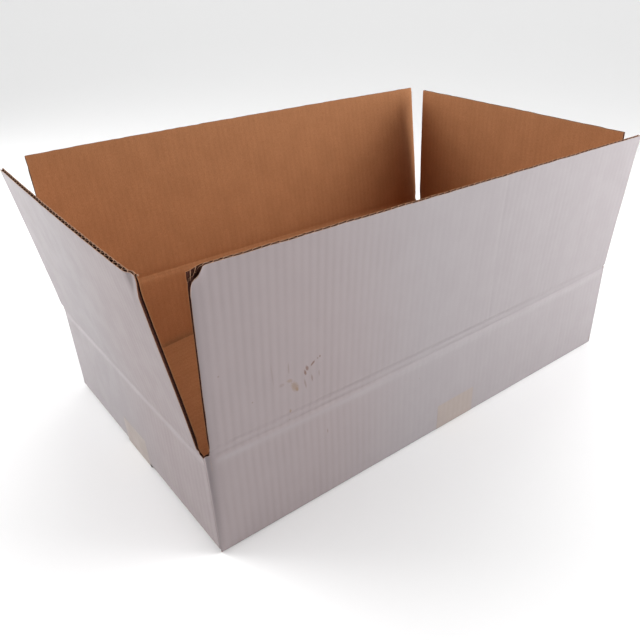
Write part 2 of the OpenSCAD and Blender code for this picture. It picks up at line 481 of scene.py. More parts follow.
    def crushed_corner(self, side, x, t, outer, inner):
        """The left flap's near upper corner is knocked inward and squashed."""
        across = side.half_flap - x
        away = side.flap_l - t
        near = np.exp(-(across / 6.5) ** 2 - (away / 9.0) ** 2)
        fold = bell(across - 5.0, 1.5) * np.exp(-(away / 12.0) ** 2)
        knocked = outer + 2.6 * near + 0.7 * fold + 0.5 * near * wander(x / 2.6, t / 4.5, 90)
        return knocked, knocked + (inner - outer) * (1 - 0.4 * near)

    def front_marks(self, x, t):
        """A pressed line across the front flap, and a shallow dent where it was rubbed"""
        line = 0.16 * bell(x - 48.8 + 0.056 * t, 1.1) * smooth(t / 12)
        rub = 0.18 * np.exp(-((x + 168) / 14) ** 2 - ((t - 30) / 12) ** 2)
        return line + rub

    def wall_faces(self, side, x, z):
        """Depths of the outer and inner face of a wall at x and height z"""
        s = side.blank + x
        t = z - side.fold_z
        outer, inner = self.crease(side, x, t)
        relief = self.wall_relief(side, x, z)
        return relief + outer + self.flutes(s, z, t, False), relief + inner - self.flutes(s, z, t, True)

    def wall_skin(self, side, x, z):
        """Depths of the two faces of a wall, levelled out towards its bottom fold"""
        s = side.blank + x
        outer, inner = self.wall_faces(side, x, z)
        fade = smooth((z - side.base - FOLD_RADIUS) / 4)
        flat = self.ripple(s, z, False), self.t - self.ripple(s, z, True)
        return outer * fade + flat[0] * (1 - fade), inner * fade + flat[1] * (1 - fade)


class Piece:
    """Collects grids of points and turns them into one mesh object."""

    def __init__(self):
        self.points = []
        self.quads = []
        self.kinds = []
        self.blank = []
        self.wear = []
        self.painted_shading = []
        self.count = 0

    def grid(self, points, blank, kind, flip=False, wear=0.0, painted_shading=0.0):
        """Adds a sheet of points, as (rows, columns, 3). blank gives its place on the unfolded sheet."""
        rows, cols = points.shape[:2]
        index = self.count + np.arange(rows * cols).reshape(rows, cols)
        corners = index[:-1, :-1], index[:-1, 1:], index[1:, 1:], index[1:, :-1]
        quads = np.stack(corners, -1).reshape(-1, 4)
        kinds = np.broadcast_to(np.asarray(kind), (rows - 1, cols - 1)).reshape(-1)
        self.points.append(points.reshape(-1, 3))
        self.blank.append(np.broadcast_to(blank, (rows, cols, 2)).reshape(-1, 2))
        self.wear.append(np.broadcast_to(wear, (rows, cols)).reshape(-1))
        self.painted_shading.append(np.broadcast_to(painted_shading, (rows, cols)).reshape(-1))
        self.quads.append(quads[:, ::-1] if flip else quads)
        self.kinds.append(kinds)
        self.count += rows * cols

    def rim(self, first, second, blank, kind=CUT, flip=False, wear=1.0):
        """Adds a strip between two lines of points."""
        strip = np.stack([first, second])
        self.grid(strip, np.stack([blank, blank]), kind, flip, wear)

    def welded(self):
        """Joins double points and drops empty faces.

        Gives the points, the faces' corners, the place each corner came from, and the sizes and kinds of
        the faces.
        """
        points = np.concatenate(self.points)
        keys = np.round(points / 0.002).astype(np.int64)
        _, first, joined = np.unique(keys, axis=0, return_index=True, return_inverse=True)
        joined = joined.reshape(-1)
        places = points[first]
        quads = np.concatenate(self.quads)
        kinds = np.concatenate(self.kinds)
        corners = joined[quads]
        keep = corners != np.roll(corners, 1, axis=1)
        sizes = keep.sum(1)
        a, b, c, d = (places[corners[:, k]] for k in range(4))
        area = np.linalg.norm(np.cross(c - a, d - b), axis=1) / 2
        good = (sizes >= 3) & (area > 1e-5)
        keep, sizes = keep[good], sizes[good]
        loops, sources = corners[good][keep], quads[good][keep]
        used, loops = np.unique(loops, return_inverse=True)
        return places[used], loops.reshape(-1), sources, sizes, kinds[good]

    def object(self, name, materials):
        places, loops, sources, sizes, kinds = self.welded()
        mesh = bpy.data.meshes.new(name)
        mesh.vertices.add(len(places))
        mesh.vertices.foreach_set("co", (places * MM).astype(np.float32).reshape(-1))
        mesh.loops.add(len(loops))
        mesh.loops.foreach_set("vertex_index", loops.astype(np.int32))
        mesh.polygons.add(len(sizes))
        mesh.polygons.foreach_set("loop_start", (np.cumsum(sizes) - sizes).astype(np.int32))
        mesh.polygons.foreach_set("material_index", kinds.astype(np.int32))
        mesh.update(calc_edges=True)
        blank = np.concatenate(self.blank)[sources]
        layer = mesh.uv_layers.new(name="blank_layout")
        layer.data.foreach_set("uv", blank.astype(np.float32).reshape(-1))
        # Edge wear is real; the second attribute carries painted shade and painted highlight.
        for label, values in (("wear", self.wear), ("painted_shading", self.painted_shading)):
            share = mesh.attributes.new(label, "FLOAT", "CORNER")
            share.data.foreach_set("value", np.concatenate(values)[sources].astype(np.float32))
        mesh.validate()
        mesh.shade_smooth()
        mesh.set_sharp_from_angle(angle=math.radians(40))
        for material in materials:
            mesh.materials.append(material)
        made = bpy.data.objects.new(name, mesh)
        bpy.context.scene.collection.objects.link(made)
        return made


def edge_wear(x, t, half, end):
    """How worn the board is near its side and free edges, from 0 to 1"""
    side = np.exp(-(half - np.abs(x)) / 1.6)
    top = np.exp(-(end - t) / 1.4)
    return np.clip(side + top, 0, 1)


def sheet(piece, x, rows, faces, place, blank, kinds, end, nick, seed, root, painted_shading=None):
    """Adds a closed sheet of paper.

    faces(x, t) gives the depths of its two faces, place(x, t, depth) its points and blank(x, t) its place on
    the unfolded sheet. end(x) is its free edge, towards which the last rows move. Its side edges are ragged
    by nick above root. kinds are the materials of its faces, its end edges and its side edges. Its last
    argument gives, at (x, t), the painted shade on its front, or the painted highlight where below 0.
    """
    last = rows[-1]
    half = x[-1]
    t, xs = np.meshgrid(rows, x, indexing="ij")
    t = t + (end(xs) - last) * smooth((t - last + 24) / 24)
    pull = smooth((np.abs(xs) - half + 1.5) / 1.5) * smooth((t - root) / 4)
    xs = xs + np.sign(xs) * pull * nick * wander(t / 3.1, np.sign(xs), seed)
    front, back = (place(xs, t, depth) for depth in faces(xs, t))
    layout = blank(xs, t)
    wear = edge_wear(xs, t, half, end(xs))
    piece.grid(front, layout, kinds[0], wear=wear, painted_shading=painted_shading(xs, t) if painted_shading else 0.0)
    piece.grid(back, layout, kinds[1], flip=True, wear=wear)
    piece.rim(front[-1], back[-1], layout[-1], kinds[2])
    piece.rim(front[0], back[0], layout[0], kinds[2], flip=True)
    for column, flip in ((0, False), (-1, True)):
        piece.rim(front[:, column], back[:, column], layout[:, column], kinds[3], flip=flip)


def corrugated(piece, board, side, half, rows, faces, place, blank, end, root, torn=None, painted_shading=None):
    """Adds an outer liner, a wavy medium and an inner liner, open at the free edge and at both sides.

    torn is the corner where the outer liner has come off, if there is one.
    """
    x = board.columns(side, half)
    if torn:
        x = np.unique(np.concatenate([x, np.arange(-half, 12 - half, 0.4)]))

    def outer_liner(xs, t):
        outer = faces(xs, t)[0]
        if torn:
            outer = outer - torn.curl(xs, t)
        return outer, outer + board.liner

    def inner_liner(xs, t):
        inner = faces(xs, t)[1]
        return inner - board.liner, inner

    def medium(xs, t):
        outer, inner = faces(xs, t)
        outer, inner = outer + board.liner, inner - board.liner
        swing = (inner - outer - board.medium) / 2
        phase = 2 * np.pi * (side.blank + xs) / board.pitch
        steep = 2 * np.pi / board.pitch * swing * np.sin(phase)
        dip = (0.5 - 0.5 * np.cos(phase)) ** 3.0
        centre = (outer + inner) / 2 + swing * (1 - 2 * dip)
        lay = board.medium / 2 * np.sqrt(1 + steep ** 2)
        return np.maximum(centre - lay, outer), np.minimum(centre + lay, inner)

    outer_end = torn.edge if torn else end
    inner_end = torn.inner_edge if torn else end
    medium_end = torn.medium_edge if torn else (lambda xs: end(xs) - 0.12)
    # The medium and the liners' hidden faces take the near-black medium, painted shade that shows in the
    # torn corner and at the open edges
    inner_kinds = (SHADED_MEDIUM, KRAFT, CUT if side.name == "left" else KRAFT, KRAFT)
    sheet(piece, x, rows, outer_liner, place, blank, (WHITE, SHADED_MEDIUM, CUT, CUT), outer_end, 0.28, side.seed,
          root, painted_shading)
    sheet(piece, x, rows, inner_liner, place, blank, inner_kinds, inner_end, 0.2, side.seed + 4, root)
    fine = board.columns(side, half - 0.15, FLUTE_SAMPLES)
    low = rows[(rows > root - 0.9) & (rows < root + 11)][::2]
    runs = np.concatenate([
        low, np.linspace(low[-1] + 6, rows[-1] - 15, 5),
        rows[-1] - np.array([12.0, 9.0, 6.5, 4.4, 2.6, 1.2, 0.0])])
    sheet(piece, fine, runs, medium, place, blank, (SHADED_MEDIUM, SHADED_MEDIUM, CUT, SHADED_MEDIUM), medium_end, 0.15,
          side.seed + 5, root)


def add_shred(piece, board, side, rows):
    """Adds a thin torn scrap of paper on a flap. rows has (left x, right x, t, depth in from the face)."""
    left, right, t, deep = (np.array(column, float)[:, None] for column in zip(*rows))
    x = np.concatenate([left, (left + right) / 2, right], 1)
    t = np.broadcast_to(t, x.shape)
    outer = board.flap_faces(side, x, t)[0] + deep
    front = side.flap_point(x, t, outer - np.array([0.0, 0.12, 0.0]))
    back = side.flap_point(x, t, outer + 0.25)
    blank = np.stack([side.blank + x, side.fold_z + t], -1)
    piece.grid(front, blank, CUT)
    piece.grid(back, blank, CUT, flip=True)
    for row, flip in ((0, True), (-1, False)):
        piece.rim(front[row], back[row], blank[row], CUT, flip)
    for column, flip in ((0, False), (-1, True)):
        piece.rim(front[:, column], back[:, column], blank[:, column], CUT, flip)


class TornCorner:
    """The front flap's upper left corner, where the white liner is torn off its flutes"""

    # Places along from the side edge, and how far below the free edge the white liner is torn there
    TEAR = (
        (0, 0.8, 1.6, 3.0, 6.0, 7.6, 9.2, 10.5),
        (14.0, 10.6, 8.8, 7.2, 5.4, 2.8, 0.5, 0.0),
    )
    # Shreds of the medium left in the tear, in rows of (left, right, place below the free edge, depth)
    SHREDS = (
        ((1.3, 1.5, 8.2, 1.2), (1.6, 2.0, 4.6, 1.0), (2.1, 2.5, 1.2, 1.3)),
        ((3.2, 3.4, 6.0, 1.6), (4.5, 4.9, 3.6, 1.2), (5.6, 6.1, 0.6, 1.4)),
    )

    def __init__(self, side):
        self.side = side

    def depth(self, x):
        """How far the white liner is torn back"""
        away = x + self.side.half_flap
        return np.interp(away, *self.TEAR) + 0.3 * wander(x / 0.8, 0, 21) * smooth((10 - away) / 3)

    def edge(self, x):
        """Place of the white liner's torn edge"""
        return self.side.free_edge(x) - self.depth(x)

    def medium_edge(self, x):
        """Place of the medium's broken edge"""
        away = x + self.side.half_flap
        broken = smooth((10 - away) / 2.5) * (0.75 * self.depth(x) + 0.6 * wander(x / 1.1, 0, 22))
        return self.side.free_edge(x) - 0.12 - broken

    def inner_edge(self, x):
        """Place of the brown liner's worn edge"""
        away = x + self.side.half_flap
        return self.side.free_edge(x) - 2.6 * smooth((11 - away) / 11)

    def curl(self, x, t):
        """The torn liner lifts off the flutes."""
        away = x + self.side.half_flap
        near = self.edge(x) - t
        return 0.6 * np.exp(-np.maximum(near, 0) / 3.0) * smooth((13 - away) / 6)

    def add_shreds(self, piece, board):
        """Adds the medium's shreds to a piece."""
        for shred in self.SHREDS:
            rows = [(low - self.side.half_flap, high - self.side.half_flap,
                     self.side.free_edge(low - self.side.half_flap) - under, deep)
                    for low, high, under, deep in shred]
            add_shred(piece, board, self.side, rows)


def build_top_flap(board, side, materials):
    """One top flap with its crease, from the wall's upper end to the free edge"""
    piece = Piece()
    low = JOIN_Z - side.fold_z
    rows = np.concatenate([
        np.linspace(low, -8.0, 4),
        np.arange(-6.6, 7.3, 0.6),
        np.array([8.3, 9.6, 11.5, 14.0, 18.0, 25.0]),
        np.linspace(34.0, side.flap_l - 14, 6),
        side.flap_l - np.array([9.0, 5.0, 2.6, 1.2, 0.0]),
    ])

    def faces(x, t):
        return board.flap_faces(side, x, t)

    def blank(x, t):
        return np.stack(np.broadcast_arrays(side.blank + x, side.fold_z + t), -1)

    def painted_shading(x, t):
        return board.painted_shading(side, x, side.fold_z + t)

    torn = TornCorner(side) if side.name == "front" else None
    corrugated(piece, board, side, side.half_flap, rows, faces, side.flap_point, blank, side.free_edge,
               side.slot_t, torn, painted_shading)
    if torn:
        torn.add_shreds(piece, board)
    if side.name == "left":
        tip, end = side.half_flap, side.free_edge(side.half_flap)
        add_shred(piece, board, side, (
            (tip - 2.5, tip + 0.1, end - 1.6, 1.2), (tip - 2.0, tip + 1.3, end - 0.9, 1.5),
            (tip - 1.0, tip + 3.0, end - 0.3, 1.7), (tip + 1.0, tip + 3.2, end, 1.8)))
    made = piece.object(side.name + "_flap_board", materials)
    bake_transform(made)
    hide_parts(side.name + "_top_flap")
    return made


def panel_path(board, base, radius, rise, length, top):
    """Outer and inner lines of a wall, its bottom fold and its bottom flap, from top to free edge.

    Each line is an array of (depth, height), followed by its normals into the board and its place down the
    blank. base is the flap's height, rise its slope in radians and length its reach from the outer face.
    """
    t = board.t
    walls = np.concatenate([np.linspace(top, 17, 9), np.linspace(13, base + radius, 5)])
    turns = np.linspace(0, math.pi / 2 - rise, 7)[1:]
    direction = np.array([math.cos(rise), math.sin(rise)])
    upward = np.array([-math.sin(rise), math.cos(rise)])
    centre = np.array([radius, base + radius])
    outer = [(0.0, z) for z in walls]
    outer_normal = [(1.0, 0.0)] * len(walls)
    for turn in turns:
        spoke = np.array([-math.cos(turn), -math.sin(turn)])
        outer.append(centre + radius * spoke)
        outer_normal.append(-spoke)
    foot = centre - radius * upward
    steps = np.linspace(0, length - radius, 9)[1:]
    outer += [foot + direction * step for step in steps]
    outer_normal += [upward] * len(steps)
    lift = foot + upward * t
    corner = lift + direction * ((t - lift[0]) / direction[0])
    ease = 0.5
    root = corner[1] + ease
    inner = [(t, root + (z - walls[-1]) * (top - root) / (top - walls[-1])) for z in walls]
    inner_normal = [(1.0, 0.0)] * len(walls)
    hub = corner + np.array([ease, ease])
    for turn in turns:
        inner.append(hub - ease * np.array([math.cos(turn), math.sin(turn)]))
        inner_normal.append((math.cos(turn), math.sin(turn)))
    run = length - radius + foot[0] - inner[-1][0]
    inner += [np.array(inner[-1]) + direction * step for step in np.linspace(0, run, 9)[1:]]
    inner_normal += [upward] * len(steps)
    outer, inner = np.array(outer), np.array(inner)
    gaps = np.linalg.norm(np.diff(outer, axis=0), axis=1)
    down = top - np.concatenate([[0], np.cumsum(gaps)])
    return outer, np.array(outer_normal), inner, np.array(inner_normal), down


def add_panel(piece, board, side, rise, length):
    """Adds a wall from the join under the top flap round the bottom fold, as far as length."""
    outer, outer_normal, inner, inner_normal, down = panel_path(
        board, side.base, FOLD_RADIUS, rise, length, JOIN_Z)
    x = board.columns(side, side.half_flap)
    s = side.blank + x[None, :]
    on_wall = (outer_normal[:, 1] < 0.02)[:, None]
    heights = np.where(on_wall, outer[:, 1][:, None], side.base + FOLD_RADIUS)
    skin = board.wall_skin(side, x[None, :], heights)
    outer_relief = np.where(on_wall, skin[0], board.ripple(s, down[:, None], False))
    inner_relief = np.where(on_wall, skin[1] - board.t, -board.ripple(s, down[:, None], True))

    def line(path, normal, depth):
        return side.wall_point(
            x[None, :], path[:, 0, None] + normal[:, 0, None] * depth,
            path[:, 1, None] + normal[:, 1, None] * depth)

    front = line(outer, outer_normal, outer_relief)
    back = line(inner, inner_normal, inner_relief)
    blank = np.stack(np.broadcast_arrays(s, down[:, None]), -1)
    # Painted shade and painted highlight by the creases and the pressed corner, on the wall rows only
    painted_shading = np.where(on_wall, board.painted_shading(side, x[None, :], heights), 0.0)
    piece.grid(front, blank, WHITE, flip=True, painted_shading=painted_shading)
    piece.grid(back, blank, KRAFT)
    piece.rim(front[0], back[0], blank[0])
    recessed_rim(piece, board, front[-1], back[-1], blank[-1], last_step(front), True)
    for column, inward, flip in ((0, side.along, True), (-1, -side.along, False)):
        recessed_rim(piece, board, front[:, column], back[:, column], blank[:, column], inward, flip)


def last_step(grid):
    """Unit vector from a grid's last row back into the board"""
    step = grid[-2, grid.shape[1] // 2] - grid[-1, grid.shape[1] // 2]
    return step / np.linalg.norm(step)


def recessed_rim(piece, board, front, back, blank, inward, flip, deep=1.6):
    """Cut edge of a board: the edges of both liners with the crushed medium between them, set back. The
    set-back faces take the near-black medium as painted shade of the recess.
    """
    share = board.liner / board.t
    first = front + (back - front) * share
    second = back + (front - back) * share
    sunk_first, sunk_second = first + inward * deep, second + inward * deep
    middle = (sunk_first + sunk_second) / 2 - inward * deep * 0.45
    piece.rim(front, first, blank, CUT, flip)
    piece.rim(first, sunk_first, blank, SHADED_MEDIUM, flip)
    piece.rim(sunk_first, middle, blank, SHADED_MEDIUM, flip)
    piece.rim(middle, sunk_second, blank, SHADED_MEDIUM, flip)
    piece.rim(sunk_second, second, blank, SHADED_MEDIUM, flip)
    piece.rim(second, back, blank, CUT, flip)


def add_corner(piece, board, a, b, joint):
    """Adds the folded corner between side a and the side b to its right, between their flaps' slots."""
    radius = 1.3 if a.name == "left" else 2.2
    ease = 0.4
    apex = a.outward * a.reach + b.outward * b.reach
    levels = np.concatenate([np.linspace(80.0, 5.8, 11)[::-1] - 5.8, np.linspace(81, SLOT_Z, 20) - 5.8])
    levels = np.concatenate([np.array([-2.45, -2.0, -1.3, -0.6]), levels])
    flat_a = np.linspace(a.half_wall - a.half_flap, radius, 4)
    flat_b = np.linspace(radius, b.half_wall - b.half_flap, 5)
    turns = np.linspace(0, math.pi / 2, 8)[1:-1]
    root_a, root_b = a.base + FOLD_RADIUS, b.base + FOLD_RADIUS

    def rise(share):
        """Heights of one line of points, whose foot lies between both sides' folds"""
        root = root_a * (1 - share) + root_b * share
        return np.where(levels < 0, root + levels, root + levels * (SLOT_Z - root) / (SLOT_Z - 5.8))

    def skin(side, x, face, heights):
        """How far a face of a wall lies inside its flat place, down to the bottom fold"""
        deep = board.wall_skin(side, x, heights)[face] - face * board.t
        below = np.clip(side.base + FOLD_RADIUS - heights, 0, FOLD_RADIUS)
        deep = deep + FOLD_RADIUS - np.sqrt(FOLD_RADIUS ** 2 - below ** 2)
        return (deep - side.fold_path(heights - side.fold_z)[0])[:, None] * side.outward

    def ring(corner, r, face):
        """Upright lines of points round the corner, with their places on the blank and their painted shading
        """
        hub = corner - a.along * r + b.along * r
        lines, places, tops, painted_shading_rows = [], [], [], []

        def add(spot, inset, place, heights, painted_shading):
            lines.append(spot - inset + heights[:, None] * UP)
            places.append(place)
            tops.append(heights)
            painted_shading_rows.append(painted_shading)

        for away in flat_a:
            x, z = a.half_wall - away, rise(0.0)
            spot = corner - a.along * (r + (away - radius))
            add(spot, skin(a, x, face, z), -away, z, board.painted_shading(a, x, z))
        for turn in turns:
            share = math.sin(turn) ** 2
            z = rise(share)
            spot = hub + r * (a.along * math.sin(turn) - b.along * math.cos(turn))
            end_a, end_b = a.half_wall - radius, radius - b.half_wall
            inset = (1 - share) * skin(a, end_a, face, z) + share * skin(b, end_b, face, z)
            # The pressed corner's painted shade runs on round the second half of the arc
            arc_painted_shading = smooth(2 * share - 1) * board.painted_shading(b, end_b, z)
            add(spot, inset, radius * (4 * turn / math.pi - 1), z, arc_painted_shading)
        for away in flat_b:
            x, z = away - b.half_wall, rise(1.0)
            spot = corner + b.along * (r + (away - radius))
            add(spot, skin(b, x, face, z), away, z, board.painted_shading(b, x, z))
        s = a.blank + a.half_wall + np.array(places)
        heights = np.stack(tops, 1)
        return np.stack(lines, 1), np.stack(np.broadcast_arrays(s[None, :], heights), -1), np.stack(painted_shading_rows, 1)

    front, blank, painted_shading = ring(apex, radius, 0)
    back, _, _ = ring(apex - a.along * board.t + b.along * board.t, ease, 1)
    kinds = np.full(front.shape[1] - 1, WHITE)
    if joint:
        front, kinds = glued_joint(a, apex, front, len(flat_a))
    worn = 0.75 * np.exp(-(np.arange(front.shape[1]) - len(flat_a) - 2.5) ** 2 / 3)
    piece.grid(front, blank, kinds, wear=worn, painted_shading=painted_shading)
    piece.grid(back, blank, KRAFT, flip=True)
    recessed_rim(piece, board, front[-1], back[-1], blank[-1], -UP, False, deep=1.2)
    recessed_rim(piece, board, front[0], back[0], blank[0], UP, True, deep=0.8)
    piece.rim(front[:, 0], back[:, 0], blank[:, 0])
    piece.rim(front[:, -1], back[:, -1], blank[:, -1], flip=True)


def glued_joint(a, apex, front, fold):
    """The corner where the blank's two ends meet: side a folds in behind the cut edge of the next side.

    fold is the column of front where the fold begins.
    """
    kinds = np.full(front.shape[1] - 1, WHITE)
    # Each place is (distance back along a, distance in from a's outer face).
    places = ((2.9, 0.25), (2.6, 0.9), (2.55, 1.1), (2.5, 0.3), (1.2, 0.25), (0.1, 0.3))
    for k, (back_along, deep) in enumerate(places):
        spot = apex - a.along * back_along - a.outward * deep
        front[:, fold + k, :2] = spot[:2]
    # The open flutes of the cut edge take the near-black medium as painted shade
    kinds[fold + 1:fold + 3] = SHADED_MEDIUM
    kinds[fold + 3:fold + 5] = CUT
    return front, kinds


def build_walls(board, materials):
    """The four walls, their folded corners, and the front and back bottom flaps"""
    piece = Piece()
    bottom_reach = board.sides["front"].reach - 0.3
    for name in ("front", "back"):
        add_panel(piece, board, board.sides[name], 0.0, bottom_reach)
    for name in ("left", "right"):
        add_panel(piece, board, board.sides[name], INNER_RISE, INNER_START)
    for k, name in enumerate(BLANK_ORDER):
        after = BLANK_ORDER[(k + 1) % len(BLANK_ORDER)]
        add_corner(piece, board, board.sides[name], board.sides[after], name == "right")
    made = piece.object("carton_walls", materials)
    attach(made, "carton")
    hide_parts("carton_body")
    return made


def build_inner_bottom_flap(board, side, materials):
    """An inner bottom flap, sprung up inside and open at its free edge"""
    piece = Piece()
    radius = FOLD_RADIUS
    base = side.base
    direction = np.array([math.cos(INNER_RISE), math.sin(INNER_RISE)])
    upward = np.array([-math.sin(INNER_RISE), math.cos(INNER_RISE)])
    foot = np.array([radius, base + radius]) - radius * upward
    length = side.flap_l - radius
    rows = np.concatenate([np.linspace(INNER_START - radius, length - 10, 7), length - np.array([5, 2, 0])])

    def faces(x, t):
        s = side.blank + x
        sag = 0.8 * (x / side.half_flap) ** 2 * smooth(t / length)
        return sag + board.ripple(s, -t, False), sag + board.t - board.ripple(s, -t, True)

    def place(x, t, depth):
        x, t, depth = np.broadcast_arrays(x, t, depth)
        spot = foot + direction * t[..., None] + upward * depth[..., None]
        return side.wall_point(-x, spot[..., 0], spot[..., 1])

    def blank(x, t):
        return np.stack(np.broadcast_arrays(side.blank - x, -t), -1)

    def end(x):
        return length + 0.3 * wander(x / 8, 0, side.seed + 7)

    corrugated(piece, board, side, side.half_flap, rows, faces, place, blank, end, rows[0])
    made = piece.object(side.name + "_inner_bottom_flap", materials)
    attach(made, "carton")
    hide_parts("carton_body")
    return made


def build_joint_tab(board, materials):
    """The glue tab that the right wall folds inside the back wall"""
    piece = Piece()
    back = board.sides["back"]
    tab_l, slant, thick = 35.0, 8.0, 2.2
    root = back.half_wall - board.t
    x = np.linspace(-root, -root + tab_l, 33)
    share = (x + root) / tab_l
    low = 2 * board.t + 0.3 + slant * share
    high = 88.0 - slant * share
    rows = np.linspace(0, 1, 9)
    heights = low + (high - low) * rows[:, None]
    press = 0.5 * np.exp(-(tab_l * (1 - share)) / 3)
    s = back.blank + 2 * back.half_wall + x[None, :]
    wave = board.ripple(s, heights, True)
    far = back.wall_point(x[None, :], board.t + 0.05, heights)
    near = back.wall_point(x[None, :], board.t + thick - press - wave, heights)
    blank = np.stack(np.broadcast_arrays(s, heights), -1)
    piece.grid(near, blank, KRAFT, flip=True)
    piece.grid(far, blank, WHITE)
    piece.rim(near[-1], far[-1], blank[-1], flip=True)
    piece.rim(near[0], far[0], blank[0])
    piece.rim(near[:, 0], far[:, 0], blank[:, 0], flip=True)
    piece.rim(near[:, -1], far[:, -1], blank[:, -1])
    made = piece.object("joint_tab", materials)
    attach(made, "carton")
    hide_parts("carton_body")
    return made


def tape_half(board, side, middle, width, up, under, thick):
    """Outer and inner points of a strip of tape, from its end on a wall down to the carton's underside

    middle is the strip's place along the side, up the height of its end and under how far above the lowest
    tape it lies.
    """
    across = np.linspace(-width / 2, width / 2, 49)
    x = middle + across
    teeth = 0.5 * np.abs((across / 1.7 + 0.4 * wander(across / 6, 0, side.seed)) % 1 - 0.5)
    end = up - teeth + 0.018 * across
    foot = side.base + FOLD_RADIUS
    share = np.concatenate([np.linspace(0, 0.6, 7), np.linspace(0.7, 1, 7)])[:, None]
    heights = end * (1 - share) + foot * share
    skin = board.wall_skin(side, x, heights)[0]
    hub = UNDERSIDE_Z + FOLD_RADIUS
    turns = np.linspace(0, math.pi / 2, 7)[:, None] + 0 * x
    lines = []
    for radius in (hub - under, hub - under - thick):
        wall = side.wall_point(x, skin - (radius - FOLD_RADIUS), heights)
        bend = side.wall_point(x, FOLD_RADIUS - radius * np.cos(turns), hub - radius * np.sin(turns))
        lines.append(np.concatenate([wall, bend]))
    down = np.concatenate([heights, hub - FOLD_RADIUS * turns])
    return (*lines, np.stack([side.blank + x + 0 * down, down], -1))


def build_tape(board, name, node, first, second, under, materials):
    """A strip of packing tape under the carton that turns up the walls first and second"""
    piece = Piece()
    lo, hi = box_mm(node)
    a, b = board.sides[first], board.sides[second]
    width = abs((hi - lo) @ a.along)
    middle = (lo + hi) / 2 @ a.along
    near = tape_half(board, a, middle, width, hi[2], under, 0.035)
    far = tape_half(board, b, -middle, width, hi[2], under, 0.035)
    points, backs, blank = (np.concatenate([one, other[::-1, ::-1]]) for one, other in zip(near, far))
    piece.grid(points, blank, 0, flip=True)
    piece.grid(backs, blank, 0)
    for row, flip in ((0, False), (-1, True)):
        piece.rim(points[row], backs[row], blank[row], 0, flip)
    for column, flip in ((0, True), (-1, False)):
        piece.rim(points[:, column], backs[:, column], blank[:, column], 0, flip)
    made = piece.object(name, materials)
    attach(made, "carton")
    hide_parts(node)
    return made


def connect(tree, made, inputs):
    """Sets a node's inputs, each to a value or to another node's output."""
    for name, value in inputs.items():
        if isinstance(value, bpy.types.NodeSocket):
            tree.links.new(value, made.inputs[name])
        else:
            made.inputs[name].default_value = value


def add_node(tree, kind, inputs, **settings):
    """Makes a shader node with its settings and inputs."""
    made = tree.nodes.new(kind)
    for name, value in settings.items():
        setattr(made, name, value)
    connect(tree, made, inputs)
    return made


def calc(tree, operation, a, b=0.0, c=None):
    """Works out a value from two others, or from three."""
    inputs = {0: a, 1: b} if c is None else {0: a, 1: b, 2: c}
    return add_node(tree, "ShaderNodeMath", inputs, operation=operation).outputs[0]


def ramp(tree, value, low, high, to_low=0.0, to_high=1.0):
    """Maps low..high to to_low..to_high, smoothly and within those bounds."""
    made = add_node(
        tree, "ShaderNodeMapRange",
        {"Value": value, "From Min": low, "From Max": high, "To Min": to_low, "To Max": to_high},
        interpolation_type="SMOOTHSTEP")
    return made.outputs["Result"]


def above_zero(tree, value):
    """The value, or 0 if it is below 0"""
    return calc(tree, "MAXIMUM", value, 0.0)


def blend_colour(tree, share, a, b, how="MIX"):
    """Mixes a share of colour b into colour a."""
    made = add_node(tree, "ShaderNodeMix", {0: share, 6: a, 7: b}, data_type="RGBA", blend_type=how)
    return made.outputs[2]


def opaque(colour):
    """The colour with full cover"""
    return (*colour, 1.0)


def new_group(name, inputs, outputs):
    """An empty shader node group. inputs gives each socket's type and default."""
    group = bpy.data.node_groups.new(name, "ShaderNodeTree")
    for label, (kind, default) in inputs.items():
        socket = group.interface.new_socket(label, in_out="INPUT", socket_type=kind)
        if default is not None:
            socket.default_value = default
    for label in outputs:
        group.interface.new_socket(label, in_out="OUTPUT", socket_type="NodeSocketFloat")
    return group, group.nodes.new("NodeGroupInput"), group.nodes.new("NodeGroupOutput")


def scaled(tree, vector, scale):
    """The vector with each part multiplied"""
    made = add_node(tree, "ShaderNodeVectorMath", {0: vector, 1: scale}, operation="MULTIPLY")
    return made.outputs[0]


def noise(tree, vector, detail=2.0, roughness=0.5):
    made = add_node(
        tree, "ShaderNodeTexNoise",
        {"Vector": vector, "Scale": 1.0, "Detail": detail, "Roughness": roughness})
    return made.outputs["Fac"]


def paper_grain_group():
    """Fibres, cloudy mottle and specks of paper, over millimetres on the blank"""
    group, given, out = new_group(
        "Paper Grain",
        {"Blank": ("NodeSocketVector", None)},
        ("Cloud", "Fibre", "Speck", "Dash", "Height"))
    blank = given.outputs["Blank"]
    cloud = ramp(group, noise(group, scaled(group, blank, (0.05, 0.035, 1.0)), 4.0, 0.6), 0.3, 0.7)
    fine = noise(group, scaled(group, blank, (1.5, 0.55, 1.0)), 3.0, 0.65)
    fibre = ramp(group, fine, 0.35, 0.65)
    speck = ramp(group, noise(group, scaled(group, blank, (0.9, 0.7, 1.0)), 1.0, 0.4), 0.74, 0.82)
    dash = ramp(group, noise(group, scaled(group, blank, (1.1, 0.16, 1.0)), 2.0, 0.55), 0.52, 0.72)
    grit = noise(group, scaled(group, blank, (4.0, 3.0, 1.0)), 2.0, 0.6)
    height = calc(group, "ADD", calc(group, "MULTIPLY", fine, 0.6), calc(group, "MULTIPLY", grit, 0.4))
    made = {"Cloud": cloud, "Fibre": fibre, "Speck": speck, "Dash": dash, "Height": height}
    connect(group, out, made)
    return group


